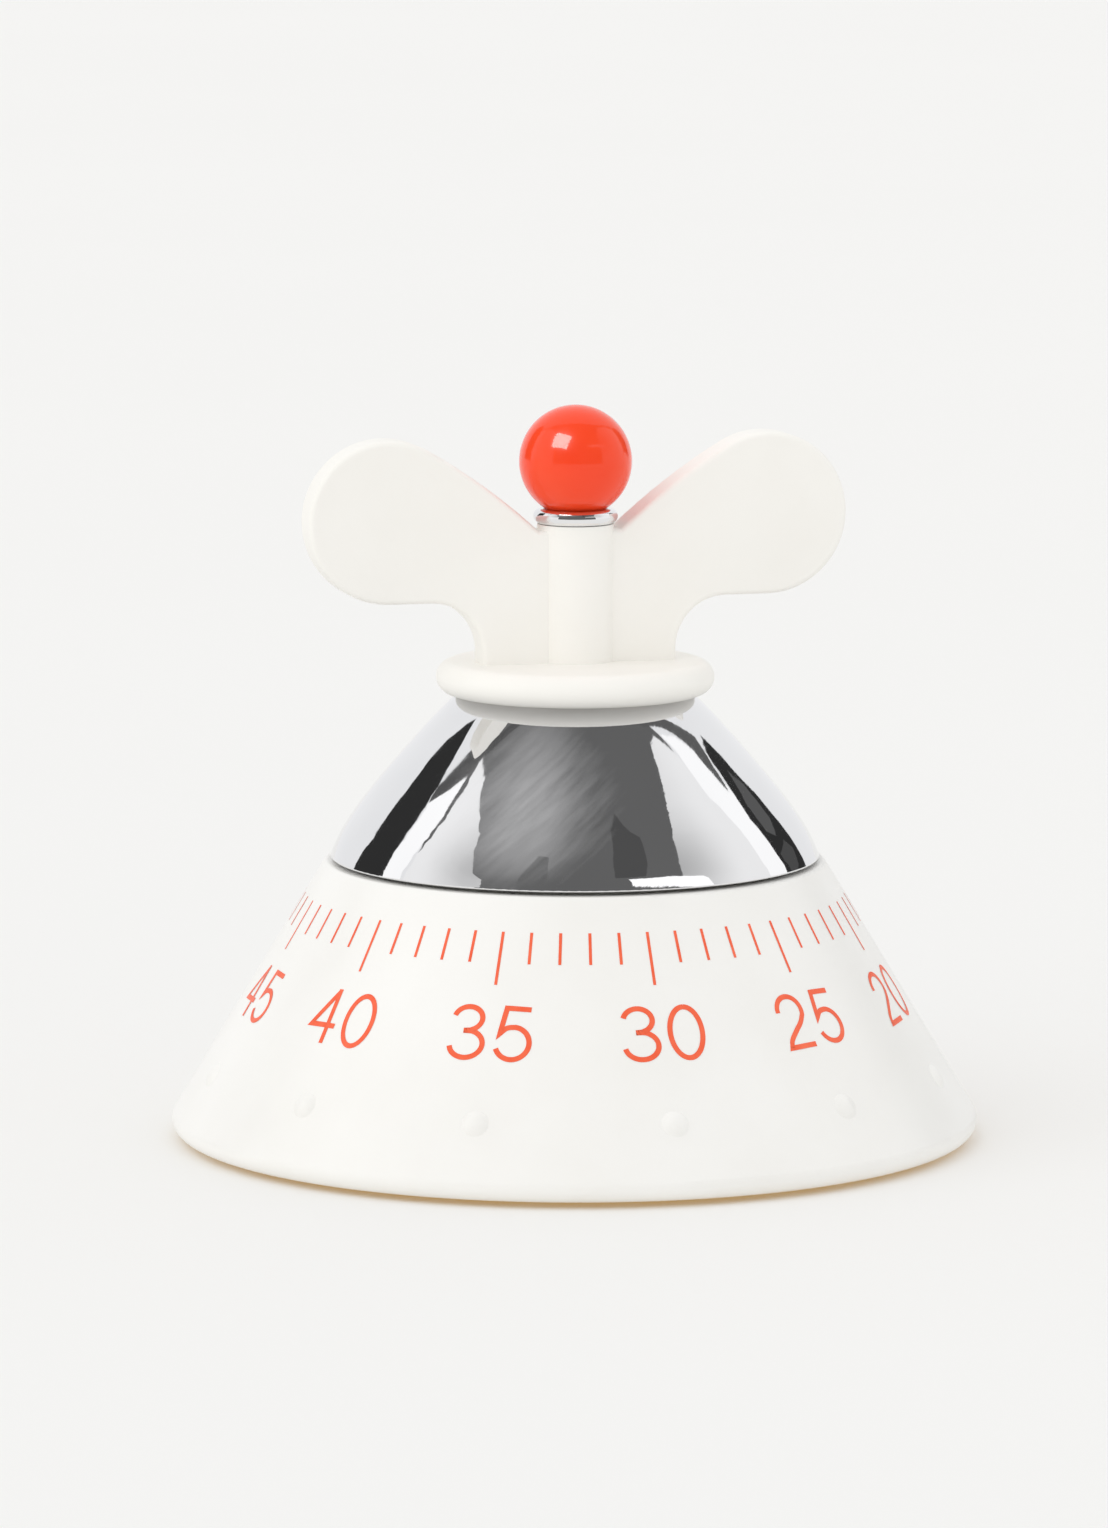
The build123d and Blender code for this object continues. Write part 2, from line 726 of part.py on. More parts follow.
with BuildPart() as pillar_screws:
    # One screw from below and one from above in each pillar
    shank_length = plate_thickness + screw_depth - 0.3
    for shank_z, head_z in (
        (lower_plate_z, lower_plate_z - pillar_screw_head_height),
        (upper_plate_top_z - shank_length, upper_plate_top_z),
    ):
        with BuildSketch(Plane.XY.offset(shank_z)):
            with Locations(*pillar_places):
                Circle(pillar_screw_radius)
        extrude(amount=shank_length)
        with BuildSketch(Plane.XY.offset(head_z)):
            with Locations(*pillar_places):
                Circle(pillar_screw_head_radius)
        extrude(amount=pillar_screw_head_height)
pillar_screws.part.label = "pillar_screws"
export_step(pillar_screws.part, "parts/pillar_screws.step")

with BuildPart() as movement_screws:
    # Hold the movement to the deck of the shell, through its spacers
    with BuildSketch(Plane.XY.offset(upper_plate_z)):
        with PolarLocations(movement_screw_ring_radius, movement_screw_count, movement_screw_first_angle):
            Circle(movement_screw_radius)
    extrude(amount=deck_top_z - upper_plate_z)
    with BuildSketch(Plane.XY.offset(deck_top_z)):
        with PolarLocations(movement_screw_ring_radius, movement_screw_count, movement_screw_first_angle):
            Circle(movement_screw_head_radius)
    extrude(amount=movement_screw_head_height)
movement_screws.part.label = "movement_screws"
export_step(movement_screws.part, "parts/movement_screws.step")

with BuildPart() as arbor_bush:
    with BuildSketch(Plane.XY.offset(upper_plate_z)):
        Circle(bush_radius)
    extrude(amount=plate_thickness)
    with BuildSketch(Plane.XY.offset(upper_plate_top_z)):
        Circle(bush_flange_radius)
    extrude(amount=bush_flange_height)
    with BuildSketch(Plane.XY.offset(upper_plate_z)):
        Circle(arbor_radius + running_clearance)
    extrude(amount=plate_thickness + bush_flange_height, mode=Mode.SUBTRACT)
arbor_bush.part.label = "arbor_bush"
export_step(arbor_bush.part, "parts/arbor_bush.step")


# ---- Movement: spring, main arbor, ratchet and click -------------------------

with BuildPart() as spring_housing:
    with BuildSketch(Plane.XY.offset(lower_plate_top_z)):
        Circle(housing_radius)
    extrude(amount=housing_top_z - lower_plate_top_z)
    with BuildSketch(Plane.XY.offset(lower_plate_top_z + housing_wall)):
        Circle(housing_radius - housing_wall)
    extrude(amount=housing_top_z - lower_plate_top_z, mode=Mode.SUBTRACT)
    with BuildSketch(Plane.XY.offset(lower_plate_top_z)):
        Circle(arbor_radius + 0.3)
    extrude(amount=housing_wall, mode=Mode.SUBTRACT)
spring_housing.part.label = "spring_housing"
export_step(spring_housing.part, "parts/spring_housing.step")

with BuildPart() as mainspring:
    # Flat strip wound in half turns, each a little wider than the last
    outer_limit = housing_radius - housing_wall - mainspring_strip
    half_turns = 2 * mainspring_turns
    growth = (outer_limit - mainspring_inner_radius) / half_turns
    with BuildLine(Plane.XY.offset(mainspring_bottom_z + mainspring_height / 2)) as spiral:
        start_x = mainspring_inner_radius
        for half_turn in range(half_turns):
            side = 1 if half_turn % 2 == 0 else -1
            reach = abs(start_x) + growth
            middle_x = (start_x - side * reach) / 2
            half_width = (abs(start_x) + reach) / 2
            ThreePointArc((start_x, 0), (middle_x, side * half_width), (-side * reach, 0))
            start_x = -side * reach
    with BuildSketch(Plane(origin=spiral.line @ 0, z_dir=spiral.line % 0, x_dir=(0, 0, 1))):
        Rectangle(mainspring_height, mainspring_strip)
    sweep(path=spiral.line)
mainspring.part.label = "mainspring"
export_step(mainspring.part, "parts/mainspring.step")

with BuildPart() as main_arbor:
    with BuildSketch(Plane.XY.offset(lower_plate_top_z)):
        Circle(arbor_radius)
    extrude(amount=arbor_square_bottom_z - lower_plate_top_z)
    with BuildSketch(Plane.XY.offset(lower_plate_z + 0.1)):
        Circle(arbor_pivot_radius)
    extrude(amount=plate_thickness - 0.1)
    with BuildSketch(Plane.XY.offset(arbor_square_bottom_z)):
        Rectangle(arbor_square, arbor_square)
    extrude(amount=arbor_top_z - arbor_square_bottom_z - 0.1)
main_arbor.part.label = "main_arbor"
export_step(main_arbor.part, "parts/main_arbor.step")

with BuildPart() as ratchet_wheel:
    with BuildSketch(Plane.XY.offset(ratchet_z)):
        with BuildLine():
            corners = []
            for tooth in range(ratchet_teeth):
                tooth_angle = tooth * 360 / ratchet_teeth
                corners.append(polar(ratchet_radius, tooth_angle))
                corners.append(polar(ratchet_root_radius, tooth_angle))
            Polyline(*corners, close=True)
        make_face()
        Circle(arbor_radius, mode=Mode.SUBTRACT)
    extrude(amount=ratchet_thickness)
ratchet_wheel.part.label = "ratchet_wheel"
export_step(ratchet_wheel.part, "parts/ratchet_wheel.step")

click_axis = polar(click_pivot_radius, click_pivot_angle)
click_line_angle = direction(click_axis, polar(ratchet_radius, click_tooth_angle))

with BuildPart() as great_wheel:
    with BuildSketch(Plane.XY.offset(great_z)):
        with BuildLine():
            Polyline(*gear_outline(great_teeth, great_module, False, great_phase), close=True)
        make_face()
        Circle(arbor_radius + running_clearance, mode=Mode.SUBTRACT)
        with PolarLocations(window_ring_radius, window_count, window_first_angle):
            Circle(window_radius, mode=Mode.SUBTRACT)
    extrude(amount=wheel_thickness)
great_wheel.part.label = "great_wheel"
export_step(great_wheel.part, "parts/great_wheel.step")

with BuildPart() as click_pin:
    with BuildSketch(Plane.XY.offset(ratchet_z - click_pin_end)):
        with Locations(click_axis):
            Circle(click_pin_radius)
    extrude(amount=great_z - ratchet_z + click_pin_end)
    with BuildSketch(Plane.XY.offset(ratchet_z - click_pin_end - click_pin_head_height)):
        with Locations(click_axis):
            Circle(click_pin_head_radius)
    extrude(amount=click_pin_head_height)
click_pin.part.label = "click_pin"
export_step(click_pin.part, "parts/click_pin.step")

with BuildPart() as click_pawl:
    with BuildSketch(Plane.XY.offset(ratchet_z)):
        with Locations(click_axis):
            Circle(click_boss_radius)
        with BuildLine():
            Polyline(
                polar(ratchet_root_radius + 0.3, click_tooth_angle + 3.0),
                polar(ratchet_radius + 0.3, click_tooth_angle + 2.5),
                polar(ratchet_radius + 2.0, click_tooth_angle + 15.0),
                polar_from(click_axis, click_boss_radius, click_line_angle + 90),
                polar_from(click_axis, click_boss_radius - 0.4, click_line_angle - 90),
                polar(ratchet_radius + 0.5, click_tooth_angle + 18.0),
                close=True,
            )
        make_face()
        with Locations(click_axis):
            Circle(click_pin_radius + running_clearance, mode=Mode.SUBTRACT)
    extrude(amount=ratchet_thickness)
click_pawl.part.label = "click_pawl"
export_step(click_pawl.part, "parts/click_pawl.step")

with BuildPart() as click_spring:
    # Short leaf on a post, both carried by the great wheel
    post_place = polar(click_spring_post_distance, click_spring_post_angle)
    leaf_length = hypot(click_spring_tip[0] - post_place[0], click_spring_tip[1] - post_place[1])
    leaf_middle = ((click_spring_tip[0] + post_place[0]) / 2, (click_spring_tip[1] + post_place[1]) / 2)
    with BuildSketch(Plane.XY.offset(ratchet_z)):
        with Locations(post_place):
            Circle(click_spring_post_radius)
        with Locations(Location(leaf_middle, direction(post_place, click_spring_tip))):
            Rectangle(leaf_length, click_spring_strip)
    extrude(amount=ratchet_thickness)
    with BuildSketch(Plane.XY.offset(ratchet_z + ratchet_thickness)):
        with Locations(post_place):
            Circle(click_spring_post_radius)
    extrude(amount=great_z - ratchet_z - ratchet_thickness)
click_spring.part.label = "click_spring"
export_step(click_spring.part, "parts/click_spring.step")


# ---- Movement: going train ---------------------------------------------------

arbor_table = [
    ("second_arbor", second_axis, second_pinion_leaves, great_module,
     second_pinion_phase, second_pinion_z, second_pinion_height),
    ("third_arbor", third_axis, third_pinion_leaves, second_module,
     third_pinion_phase, third_pinion_z, third_pinion_height),
    ("escape_arbor", escape_axis, escape_pinion_leaves, third_module,
     escape_pinion_phase, escape_pinion_z, escape_pinion_height),
]
for name, axis, leaves, module, phase, pinion_z, pinion_height in arbor_table:
    with BuildPart() as train_arbor:
        with BuildSketch(arbor_plane(axis, lower_plate_z)):
            Circle(train_pivot_radius)
        extrude(amount=upper_plate_top_z - lower_plate_z)
        with BuildSketch(arbor_plane(axis, lower_plate_top_z + end_shake)):
            Circle(train_arbor_radius)
        extrude(amount=upper_plate_z - lower_plate_top_z - 2 * end_shake)
        with BuildSketch(arbor_plane(axis, pinion_z)):
            with BuildLine():
                Polyline(*gear_outline(leaves, module, True, phase), close=True)
            make_face()
        extrude(amount=pinion_height)
    train_arbor.part.label = name
    export_step(train_arbor.part, f"parts/{name}.step")

wheel_table = [
    ("second_wheel", second_axis, second_teeth, second_module, second_phase, second_wheel_z),
    ("third_wheel", third_axis, third_teeth, third_module, third_phase, third_wheel_z),
]
for name, axis, teeth, module, phase, wheel_z in wheel_table:
    with BuildPart() as train_wheel:
        window_ring = teeth * module / 2 - train_window_inset
        with BuildSketch(arbor_plane(axis, wheel_z)):
            with BuildLine():
                Polyline(*gear_outline(teeth, module, False, phase), close=True)
            make_face()
            Circle(train_arbor_radius, mode=Mode.SUBTRACT)
            with PolarLocations(window_ring, window_count, window_first_angle):
                Circle(train_window_radius, mode=Mode.SUBTRACT)
        extrude(amount=wheel_thickness)
    train_wheel.part.label = name
    export_step(train_wheel.part, f"parts/{name}.step")

with BuildPart() as escape_wheel:
    with BuildSketch(arbor_plane(escape_axis, escape_wheel_z)):
        with BuildLine():
            corners = []
            for tooth in range(escape_teeth):
                tooth_angle = tooth * 360 / escape_teeth
                corners.append(polar(escape_radius, tooth_angle))
                corners.append(polar(escape_neck_radius, tooth_angle + 2))
                corners.append(polar(escape_root_radius, tooth_angle + 9))
                corners.append(polar(escape_root_radius, tooth_angle + 21))
            Polyline(*corners, close=True)
        make_face()
        Circle(train_arbor_radius, mode=Mode.SUBTRACT)
    extrude(amount=wheel_thickness)
escape_wheel.part.label = "escape_wheel"
export_step(escape_wheel.part, "parts/escape_wheel.step")


# ---- Movement: pallets and balance -------------------------------------------

# Each pin stands beside the escape wheel, on a tangent from the staff
staff_line_angle = direction(escape_axis, staff_axis)
staff_line_length = hypot(staff_axis[0] - escape_axis[0], staff_axis[1] - escape_axis[1])
pallet_pin_reach = escape_radius + pallet_pin_radius + pallet_pin_gap
pallet_spread = degrees(atan2(sqrt(staff_line_length**2 - pallet_pin_reach**2), pallet_pin_reach))
pallet_pin_places = []
for side in (-1, 1):
    pin_angle = staff_line_angle + side * pallet_spread
    pallet_pin_places.append(polar_from(escape_axis, pallet_pin_reach, pin_angle))

with BuildPart() as pallet_staff:
    with BuildSketch(arbor_plane(staff_axis, lower_plate_z)):
        Circle(train_pivot_radius)
    extrude(amount=upper_plate_top_z - lower_plate_z)
    with BuildSketch(arbor_plane(staff_axis, lower_plate_top_z + end_shake)):
        Circle(train_arbor_radius)
    extrude(amount=upper_plate_z - lower_plate_top_z - 2 * end_shake)
pallet_staff.part.label = "pallet_staff"
export_step(pallet_staff.part, "parts/pallet_staff.step")

with BuildPart() as pallet_anchor:
    with BuildSketch(Plane.XY.offset(anchor_z)):
        with Locations(staff_axis):
            Circle(anchor_hub_radius)
        for pin_place in pallet_pin_places:
            arm_middle = ((pin_place[0] + staff_axis[0]) / 2, (pin_place[1] + staff_axis[1]) / 2)
            arm_length = hypot(pin_place[0] - staff_axis[0], pin_place[1] - staff_axis[1])
            with Locations(Location(arm_middle, direction(staff_axis, pin_place))):
                SlotCenterToCenter(arm_length, anchor_arm_width)
        with Locations(staff_axis):
            Circle(train_arbor_radius, mode=Mode.SUBTRACT)
    extrude(amount=anchor_thickness)
pallet_anchor.part.label = "pallet_anchor"
export_step(pallet_anchor.part, "parts/pallet_anchor.step")

with BuildPart() as pallet_pins:
    with BuildSketch(Plane.XY.offset(pallet_pin_bottom_z)):
        with Locations(*pallet_pin_places):
            Circle(pallet_pin_radius)
    extrude(amount=anchor_z - pallet_pin_bottom_z)
pallet_pins.part.label = "pallet_pins"
export_step(pallet_pins.part, "parts/pallet_pins.step")

with BuildPart() as balance_ring:
    with BuildSketch(Plane.XY.offset(balance_z)):
        with Locations(staff_axis):
            Circle(balance_radius)
            Circle(balance_radius - balance_rim_width, mode=Mode.SUBTRACT)
            Rectangle(2 * balance_radius - balance_rim_width, balance_arm_width)
            Circle(balance_hub_radius)
            Circle(train_arbor_radius, mode=Mode.SUBTRACT)
    extrude(amount=balance_thickness)
balance_ring.part.label = "balance_ring"
export_step(balance_ring.part, "parts/balance_ring.step")


# ---- Movement: trip, hammer and bell -----------------------------------------

tail_tip = (tail_tip_x, tail_tip_y)
head_place = (head_x, head_y)
tail_angle = direction(main_axis, tail_tip)

with BuildPart() as trip_cam:
    with BuildSketch(Plane.XY.offset(cam_z)):
        Circle(cam_radius)
        # Notch that the tail faces when the pointer is at zero
        with BuildLine():
            Polyline(
                polar(cam_radius + 0.5, tail_angle - 16),
                polar(cam_radius - cam_step, tail_angle - 8),
                polar(cam_radius - cam_step, tail_angle + 8),
                polar(cam_radius + 0.5, tail_angle + 16),
                close=True,
            )
        make_face(mode=Mode.SUBTRACT)
        Circle(arbor_radius, mode=Mode.SUBTRACT)
    extrude(amount=cam_thickness)
trip_cam.part.label = "trip_cam"
export_step(trip_cam.part, "parts/trip_cam.step")

with BuildPart() as hammer_arbor:
    with BuildSketch(Plane.XY.offset(hammer_arbor_bottom_z)):
        with Locations(hammer_axis):
            Circle(hammer_arbor_radius)
    extrude(amount=upper_plate_top_z - hammer_arbor_bottom_z)
hammer_arbor.part.label = "hammer_arbor"
export_step(hammer_arbor.part, "parts/hammer_arbor.step")

lever_table = [
    ("hammer_tail", tail_tip, tail_z, tail_thickness, 0.0),
    ("hammer_arm", head_place, arm_z, arm_thickness, head_radius),
]
for name, lever_end, lever_z, lever_thickness, end_hole_radius in lever_table:
    with BuildPart() as lever:
        lever_length = hypot(lever_end[0] - hammer_arbor_x, lever_end[1] - hammer_arbor_y)
        lever_middle = ((lever_end[0] + hammer_arbor_x) / 2, (lever_end[1] + hammer_arbor_y) / 2)
        with BuildSketch(Plane.XY.offset(lever_z)):
            with Locations(hammer_axis):
                Circle(lever_hub_radius)
            with Locations(Location(lever_middle, direction(hammer_axis, lever_end))):
                SlotCenterToCenter(lever_length, lever_width)
            with Locations(hammer_axis):
                Circle(hammer_arbor_radius, mode=Mode.SUBTRACT)
            if end_hole_radius > 0:
                with Locations(lever_end):
                    Circle(end_hole_radius, mode=Mode.SUBTRACT)
        extrude(amount=lever_thickness)
    lever.part.label = name
    export_step(lever.part, f"parts/{name}.step")

with BuildPart() as hammer_head:
    with BuildSketch(Plane.XY.offset(arm_z + (arm_thickness - head_height) / 2)):
        with Locations(head_place):
            Circle(head_radius)
    extrude(amount=head_height)
    fillet(hammer_head.edges().filter_by(GeomType.CIRCLE), head_round)
hammer_head.part.label = "hammer_head"
export_step(hammer_head.part, "parts/hammer_head.step")

with BuildPart() as hammer_spring:
    # Torsion spring round the arbor; its long leg bears on the nearest pillar
    spring_height = hammer_spring_pitch * hammer_spring_turns
    spring_centre = (hammer_arbor_x, hammer_arbor_y, tail_z - 0.5 - spring_height)
    with BuildLine() as coil:
        Helix(hammer_spring_pitch, spring_height, hammer_spring_radius, center=spring_centre)
    with BuildSketch(Plane(origin=coil.line @ 0, z_dir=coil.line % 0)):
        Circle(hammer_spring_wire)
    sweep(path=coil.line)
    leg_start = coil.line @ 0
    leg_end = (pillar_places[3][0], pillar_places[3][1], leg_start.Z)
    leg_direction = (Vector(*leg_end) - leg_start).normalized()
    leg_length = (Vector(*leg_end) - leg_start).length - pillar_radius
    with BuildSketch(Plane(origin=leg_start, z_dir=leg_direction)):
        Circle(hammer_spring_wire)
    extrude(amount=leg_length)
hammer_spring.part.label = "hammer_spring"
export_step(hammer_spring.part, "parts/hammer_spring.step")

with BuildPart() as bell:
    with BuildSketch(Plane.XZ):
        with BuildLine():
            Line((0, bell_rim_z), (bell_radius, bell_rim_z))
            ThreePointArc((bell_radius, bell_rim_z), (17.0, 8.0), (bell_crown_radius, bell_top_z))
            Polyline((bell_crown_radius, bell_top_z), (0, bell_top_z), (0, bell_rim_z))
        make_face()
    revolve(axis=Axis.Z)
    offset(amount=-bell_wall, openings=bell.faces().sort_by(Axis.Z)[0])
    with BuildSketch(Plane.XY.offset(bell_top_z)):
        Circle(bell_screw_radius)
    extrude(amount=-2 * bell_wall, mode=Mode.SUBTRACT)
bell.part.label = "bell"
export_step(bell.part, "parts/bell.step")

with BuildPart() as bell_post:
    with BuildSketch(Plane.XY.offset(bell_top_z)):
        Circle(bell_post_radius)
        Circle(bell_screw_radius, mode=Mode.SUBTRACT)
    extrude(amount=lower_plate_z - bell_top_z)
bell_post.part.label = "bell_post"
export_step(bell_post.part, "parts/bell_post.step")

with BuildPart() as bell_screw:
    bell_inside_z = bell_top_z - bell_wall
    with BuildSketch(Plane.XY.offset(bell_inside_z - bell_screw_head_height)):
        Circle(bell_screw_head_radius)
    extrude(amount=bell_screw_head_height)
    with BuildSketch(Plane.XY.offset(bell_inside_z)):
        Circle(bell_screw_radius)
    extrude(amount=lower_plate_z - bell_inside_z - 0.1)
bell_screw.part.label = "bell_screw"
export_step(bell_screw.part, "parts/bell_screw.step")
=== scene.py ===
"""Looks of the kitchen timer: finishes, printed minute scale, studio and camera, in metres."""

from math import atan2, ceil, cos, hypot, radians, sin

import bpy
from mathutils import Matrix, Vector


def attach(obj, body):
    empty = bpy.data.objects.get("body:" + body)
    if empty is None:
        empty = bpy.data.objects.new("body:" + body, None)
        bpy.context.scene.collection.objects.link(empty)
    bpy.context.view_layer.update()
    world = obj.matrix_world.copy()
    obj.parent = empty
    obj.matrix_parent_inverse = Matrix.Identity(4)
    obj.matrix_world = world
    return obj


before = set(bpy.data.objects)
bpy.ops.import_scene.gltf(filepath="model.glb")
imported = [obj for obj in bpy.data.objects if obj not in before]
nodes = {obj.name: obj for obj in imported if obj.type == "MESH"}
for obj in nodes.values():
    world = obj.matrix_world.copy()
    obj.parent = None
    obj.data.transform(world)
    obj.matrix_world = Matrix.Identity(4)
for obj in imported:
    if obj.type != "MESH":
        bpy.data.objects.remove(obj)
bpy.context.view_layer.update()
mm = 0.001

# ---------------------------------------------------------------- material helpers

noise_low = 0.3  # most of a noise pattern lies between these two values
noise_high = 0.7


def new_finish(name):
    """A node material: the material, its tree and its Principled shader."""
    material = bpy.data.materials.new(name)
    material.use_nodes = True
    tree = material.node_tree
    return material, tree, tree.nodes["Principled BSDF"]


def noise(tree, scale, detail=3.0, crowd=(1, 1, 1), turn=(0, 0, 0)):
    """A noise pattern fixed to the piece: features per metre, then crowded along the turned axes."""
    place = tree.nodes.new("ShaderNodeTexCoord")
    spread = tree.nodes.new("ShaderNodeMapping")
    spread.vector_type = "TEXTURE"
    spread.inputs["Scale"].default_value = [1 / factor for factor in crowd]
    spread.inputs["Rotation"].default_value = [radians(angle) for angle in turn]
    pattern = tree.nodes.new("ShaderNodeTexNoise")
    pattern.inputs["Scale"].default_value = scale
    pattern.inputs["Detail"].default_value = detail
    tree.links.new(place.outputs["Object"], spread.inputs["Vector"])
    tree.links.new(spread.outputs["Vector"], pattern.inputs["Vector"])
    return pattern.outputs["Fac"]


def fade(tree, centre, reach, near, far):
    """A value going smoothly from near to far over the reach from a place, in the piece's own metres."""
    place = tree.nodes.new("ShaderNodeTexCoord")
    distance = tree.nodes.new("ShaderNodeVectorMath")
    distance.operation = "DISTANCE"
    distance.inputs[1].default_value = centre
    spread = tree.nodes.new("ShaderNodeMapRange")
    spread.interpolation_type = "SMOOTHSTEP"
    spread.inputs["From Max"].default_value = reach
    spread.inputs["To Min"].default_value = near
    spread.inputs["To Max"].default_value = far
    tree.links.new(place.outputs["Object"], distance.inputs[0])
    tree.links.new(distance.outputs["Value"], spread.inputs["Value"])
    return spread.outputs["Result"]


def mottle(tree, shader, pattern, darker, lighter):
    """Base colour drifting between two near shades."""
    ramp = tree.nodes.new("ShaderNodeValToRGB")
    ramp.color_ramp.elements[0].position = noise_low
    ramp.color_ramp.elements[1].position = noise_high
    ramp.color_ramp.elements[0].color = (*darker, 1)
    ramp.color_ramp.elements[1].color = (*lighter, 1)
    tree.links.new(pattern, ramp.inputs["Fac"])
    tree.links.new(ramp.outputs["Color"], shader.inputs["Base Color"])


def drift(tree, pattern, socket, start, end, low=noise_low, high=noise_high):
    """A shader value following a pattern from one value to another."""
    spread = tree.nodes.new("ShaderNodeMapRange")
    spread.inputs["From Min"].default_value = low
    spread.inputs["From Max"].default_value = high
    spread.inputs["To Min"].default_value = start
    spread.inputs["To Max"].default_value = end
    tree.links.new(pattern, spread.inputs["Value"])
    tree.links.new(spread.outputs["Result"], socket)


def wear(tree, shader, pattern, smooth, rough):
    """Roughness drifting between two values, as handling leaves it."""
    drift(tree, pattern, shader.inputs["Roughness"], smooth, rough)


def grain(tree, shader, pattern, depth, strength=1.0):
    """A fine relief of the given depth in metres."""
    relief = tree.nodes.new("ShaderNodeBump")
    relief.inputs["Strength"].default_value = strength
    relief.inputs["Distance"].default_value = depth
    tree.links.new(pattern, relief.inputs["Height"])
    tree.links.new(relief.outputs["Normal"], shader.inputs["Normal"])


# ---------------------------------------------------------------- finishes


def moulded_plastic(name, darker, lighter, smooth, rough, relief):
    """Satin moulded plastic: faint mottling, drifting gloss and a fine spark-eroded grain."""
    material, tree, shader = new_finish(name)
    mottle(tree, shader, noise(tree, 60, 4), darker, lighter)
    wear(tree, shader, noise(tree, 140, 5), smooth, rough)
    grain(tree, shader, noise(tree, 1900, 3), relief)
    shader.inputs["Specular IOR Level"].default_value = 0.45
    return material


wiping_turn = (0, -38, 0)  # marks climb to the right
film_centre = (-12.8 * mm, -22.4 * mm, 49.0 * mm)
film_reach = 20 * mm
clear_metallic = 1.0
milky_metallic = 0.66


def mirror_chrome():
    """Polished plating with a film of pale diagonal wiping marks on the dome's front."""
    material, tree, shader = new_finish("mirror_chrome")
    hairlines = noise(tree, 60, 6, crowd=(1, 1, 26), turn=wiping_turn)
    mottle(tree, shader, noise(tree, 40, 3), (0.80, 0.80, 0.81), (0.86, 0.86, 0.87))
    wear(tree, shader, hairlines, 0.015, 0.05)
    grain(tree, shader, hairlines, 0.002 * mm)
    film = tree.nodes.new("ShaderNodeMath")
    film.operation = "MULTIPLY"
    wiping = noise(tree, 150, 6, crowd=(1, 1, 9), turn=wiping_turn)
    tree.links.new(wiping, film.inputs[0])
    tree.links.new(fade(tree, film_centre, film_reach, 1.0, 0.0), film.inputs[1])
    metallic = shader.inputs["Metallic"]
    drift(tree, film.outputs["Value"], metallic, clear_metallic, milky_metallic, low=0.15, high=0.95)
    return material


def glossy_red():
    """The ball: high-gloss moulded plastic with a clear skin."""
    material, tree, shader = new_finish("glossy_red")
    mottle(tree, shader, noise(tree, 90, 3), (0.97, 0.060, 0.014), (0.99, 0.078, 0.021))
    wear(tree, shader, noise(tree, 240, 5), 0.18, 0.26)
    grain(tree, shader, noise(tree, 420, 2), 0.004 * mm)
    shader.inputs["Specular IOR Level"].default_value = 0.15
    shader.inputs["Coat Weight"].default_value = 0.45
    shader.inputs["Coat Roughness"].default_value = 0.02
    return material


def printing_ink():
    """Pad-printed orange-red ink, a little uneven in cover."""
    material, tree, shader = new_finish("printing_ink")
    mottle(tree, shader, noise(tree, 500, 4), (0.93, 0.112, 0.036), (0.99, 0.158, 0.064))
    wear(tree, shader, noise(tree, 700, 3), 0.35, 0.5)
    grain(tree, shader, noise(tree, 3000, 2), 0.01 * mm)
    return material


def metal(name, darker, lighter, smooth, rough, crowd, relief):
    """Turned, stamped or plated metal with tool marks across the crowded direction."""
    material, tree, shader = new_finish(name)
    marks = noise(tree, 160, 6, crowd=crowd)
    mottle(tree, shader, noise(tree, 110, 4), darker, lighter)
    wear(tree, shader, marks, smooth, rough)
    grain(tree, shader, marks, relief)
    shader.inputs["Metallic"].default_value = 1.0
    return material


def moulded_rubber():
    """Matt rubber feet with a dusty bloom."""
    material, tree, shader = new_finish("moulded_rubber")
    mottle(tree, shader, noise(tree, 300, 5), (0.045, 0.045, 0.048), (0.09, 0.09, 0.092))
    wear(tree, shader, noise(tree, 500, 3), 0.7, 0.9)
    grain(tree, shader, noise(tree, 1500, 4), 0.03 * mm)
    return material


white_shell = moulded_plastic(
    "white_shell", (0.905, 0.892, 0.855), (0.935, 0.925, 0.893), 0.30, 0.40, 0.006 * mm
)
white_handle = moulded_plastic(
    "white_handle", (0.945, 0.925, 0.873), (0.970, 0.952, 0.905), 0.42, 0.54, 0.010 * mm
)
grey_carrier = moulded_plastic(
    "grey_carrier", (0.48, 0.48, 0.47), (0.56, 0.56, 0.55), 0.45, 0.6, 0.012 * mm
)
nylon_ring = moulded_plastic(
    "nylon_ring", (0.80, 0.785, 0.72), (0.86, 0.85, 0.79), 0.38, 0.5, 0.008 * mm
)
zinc_steel = metal(
    "zinc_steel", (0.52, 0.53, 0.55), (0.64, 0.65, 0.66), 0.22, 0.38, (1, 1, 8), 0.01 * mm
)
stamped_brass = metal(
    "stamped_brass", (0.68, 0.49, 0.19), (0.79, 0.60, 0.27), 0.2, 0.36, (1, 9, 1), 0.01 * mm
)
blued_steel = metal(
    "blued_steel", (0.16, 0.18, 0.25), (0.28, 0.29, 0.34), 0.22, 0.34, (1, 1, 10), 0.006 * mm
)
nickel_bell = metal(
    "nickel_bell", (0.62, 0.61, 0.58), (0.70, 0.69, 0.66), 0.12, 0.22, (1, 1, 12), 0.008 * mm
)
ink = printing_ink()
finish_of_slot = {
    "shell_white": white_shell,
    "handle_white": white_handle,
    "polished_metal": mirror_chrome(),
    "ball_red": glossy_red(),
    "scale_orange": ink,
    "carrier_grey": grey_carrier,
    "nylon": nylon_ring,
    "rubber": moulded_rubber(),
    "zinc_steel": zinc_steel,
    "plate_brass": stamped_brass,
    "spring_steel": blued_steel,
    "bell_steel": nickel_bell,
}


def finish_cad_nodes():
    """Every CAD piece takes the finish of the record's material slot that it was packed with."""
    for node in nodes.values():
        for material_slot in node.material_slots:
            slot_name = material_slot.material.name.split(".")[0]
            material_slot.link = "OBJECT"
            material_slot.material = finish_of_slot[slot_name]


finish_cad_nodes()

# ---------------------------------------------------------------- printed minute scale

